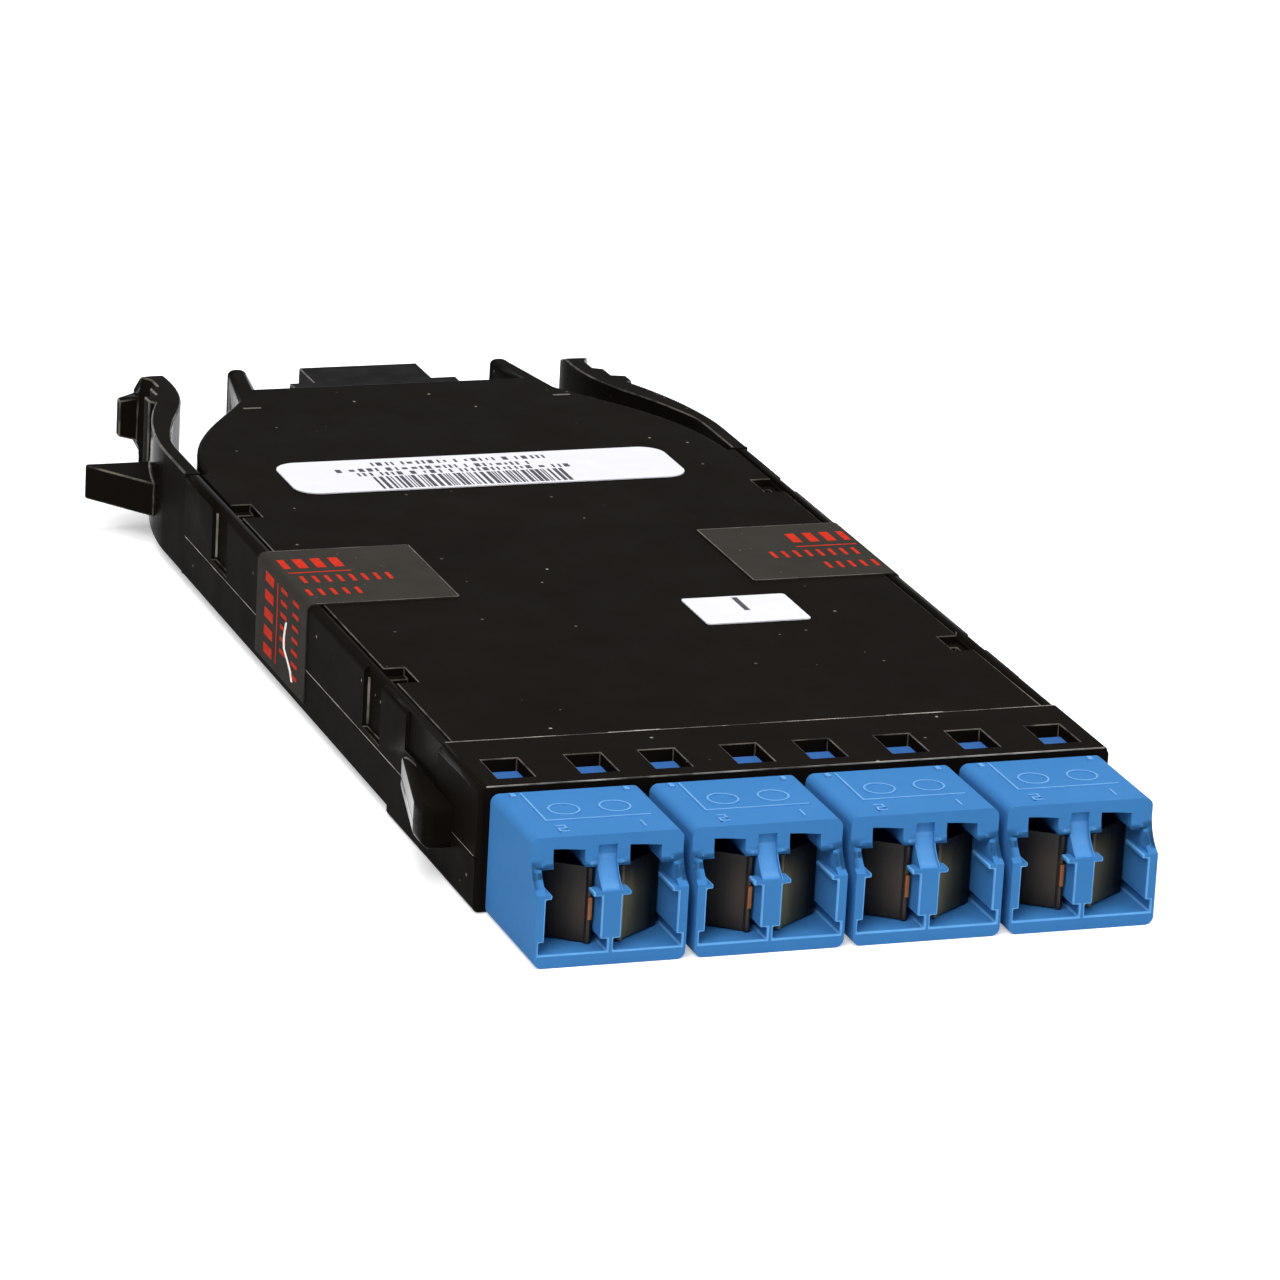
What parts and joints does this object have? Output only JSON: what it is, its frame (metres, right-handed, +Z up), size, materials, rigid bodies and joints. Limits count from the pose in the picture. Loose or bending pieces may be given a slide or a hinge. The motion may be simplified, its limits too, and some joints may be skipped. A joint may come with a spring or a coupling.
{
  "type": "fibre cassette",
  "caption": "Flat black fibre cassette with blue duplex LC ports across the front, one multi-fibre port at the rear and curved latch levers beside it.",
  "frame": {"origin": "under the middle of the whole length and width, at the level of the front foot's underside", "axes": "+X to the right seen from the front ports, +Y from the front ports to the rear port, +Z up out of the cover"},
  "size_m": [0.062, 0.1336, 0.0106],
  "materials": {
    "black_plastic": "semi-gloss moulded",
    "black_adapter": "satin moulded",
    "blue_plastic": "satin moulded",
    "bronze_leaf": "thin rolled strip",
    "inner_plug": "matte",
    "fibre": "smooth buffer coat",
    "label": "coated paper",
    "tape": "glossy seal film"
  },
  "bodies": {
    "housing": {"top_cover": "black_plastic", "bottom_tray": "black_plastic", "lc_adapter_1": "blue_plastic", "lc_adapter_2": "blue_plastic", "lc_adapter_3": "blue_plastic", "lc_adapter_4": "blue_plastic", "inner_plug_1": "inner_plug", "inner_plug_2": "inner_plug", "inner_plug_3": "inner_plug", "inner_plug_4": "inner_plug", "inner_plug_5": "inner_plug", "inner_plug_6": "inner_plug", "inner_plug_7": "inner_plug", "inner_plug_8": "inner_plug", "fibres": "fibre", "mpo_adapter": "black_adapter", "mpo_plug": "inner_plug", "rear_label": "label", "port_label": "label", "tamper_tape_left": "tape", "tamper_tape_right": "tape"},
    "lever_left": {"latch_lever_left": "black_plastic"},
    "lever_right": {"latch_lever_right": "black_plastic"},
    "leaf_1": {"shutter_leaf_1": "bronze_leaf"},
    "leaf_2": {"shutter_leaf_2": "bronze_leaf"},
    "leaf_3": {"shutter_leaf_3": "bronze_leaf"},
    "leaf_4": {"shutter_leaf_4": "bronze_leaf"},
    "leaf_5": {"shutter_leaf_5": "bronze_leaf"},
    "leaf_6": {"shutter_leaf_6": "bronze_leaf"},
    "leaf_7": {"shutter_leaf_7": "bronze_leaf"},
    "leaf_8": {"shutter_leaf_8": "bronze_leaf"}
  },
  "joints": [
    {"name": "lever_left_squeeze", "type": "hinge", "parent": "housing", "child": "lever_left", "pos_m": [-0.0261, 0.03215, 0.0056], "axis": [0, 0, -1], "range_deg": [0, 9], "stiffness_Nm_per_rad": 0.1, "springref_deg": -1.72},
    {"name": "lever_right_squeeze", "type": "hinge", "parent": "housing", "child": "lever_right", "pos_m": [0.0261, 0.03215, 0.0056], "axis": [0, 0, 1], "range_deg": [0, 9], "stiffness_Nm_per_rad": 0.1, "springref_deg": -1.72},
    {"name": "leaf_1_swing", "type": "hinge", "parent": "housing", "child": "leaf_1", "pos_m": [-0.02102, -0.06495, 0.00432], "axis": [0, 0, -1], "range_deg": [0, 50], "stiffness_Nm_per_rad": 0.00005, "springref_deg": -11.46},
    {"name": "leaf_2_swing", "type": "hinge", "parent": "housing", "child": "leaf_2", "pos_m": [-0.01843, -0.06495, 0.00432], "axis": [0, 0, 1], "range_deg": [0, 50], "stiffness_Nm_per_rad": 0.00005, "springref_deg": -11.46},
    {"name": "leaf_3_swing", "type": "hinge", "parent": "housing", "child": "leaf_3", "pos_m": [-0.00787, -0.06495, 0.00432], "axis": [0, 0, -1], "range_deg": [0, 50], "stiffness_Nm_per_rad": 0.00005, "springref_deg": -11.46},
    {"name": "leaf_4_swing", "type": "hinge", "parent": "housing", "child": "leaf_4", "pos_m": [-0.00528, -0.06495, 0.00432], "axis": [0, 0, 1], "range_deg": [0, 50], "stiffness_Nm_per_rad": 0.00005, "springref_deg": -11.46},
    {"name": "leaf_5_swing", "type": "hinge", "parent": "housing", "child": "leaf_5", "pos_m": [0.00528, -0.06495, 0.00432], "axis": [0, 0, -1], "range_deg": [0, 50], "stiffness_Nm_per_rad": 0.00005, "springref_deg": -11.46},
    {"name": "leaf_6_swing", "type": "hinge", "parent": "housing", "child": "leaf_6", "pos_m": [0.00787, -0.06495, 0.00432], "axis": [0, 0, 1], "range_deg": [0, 50], "stiffness_Nm_per_rad": 0.00005, "springref_deg": -11.46},
    {"name": "leaf_7_swing", "type": "hinge", "parent": "housing", "child": "leaf_7", "pos_m": [0.01843, -0.06495, 0.00432], "axis": [0, 0, -1], "range_deg": [0, 50], "stiffness_Nm_per_rad": 0.00005, "springref_deg": -11.46},
    {"name": "leaf_8_swing", "type": "hinge", "parent": "housing", "child": "leaf_8", "pos_m": [0.02102, -0.06495, 0.00432], "axis": [0, 0, 1], "range_deg": [0, 50], "stiffness_Nm_per_rad": 0.00005, "springref_deg": -11.46}
  ]
}
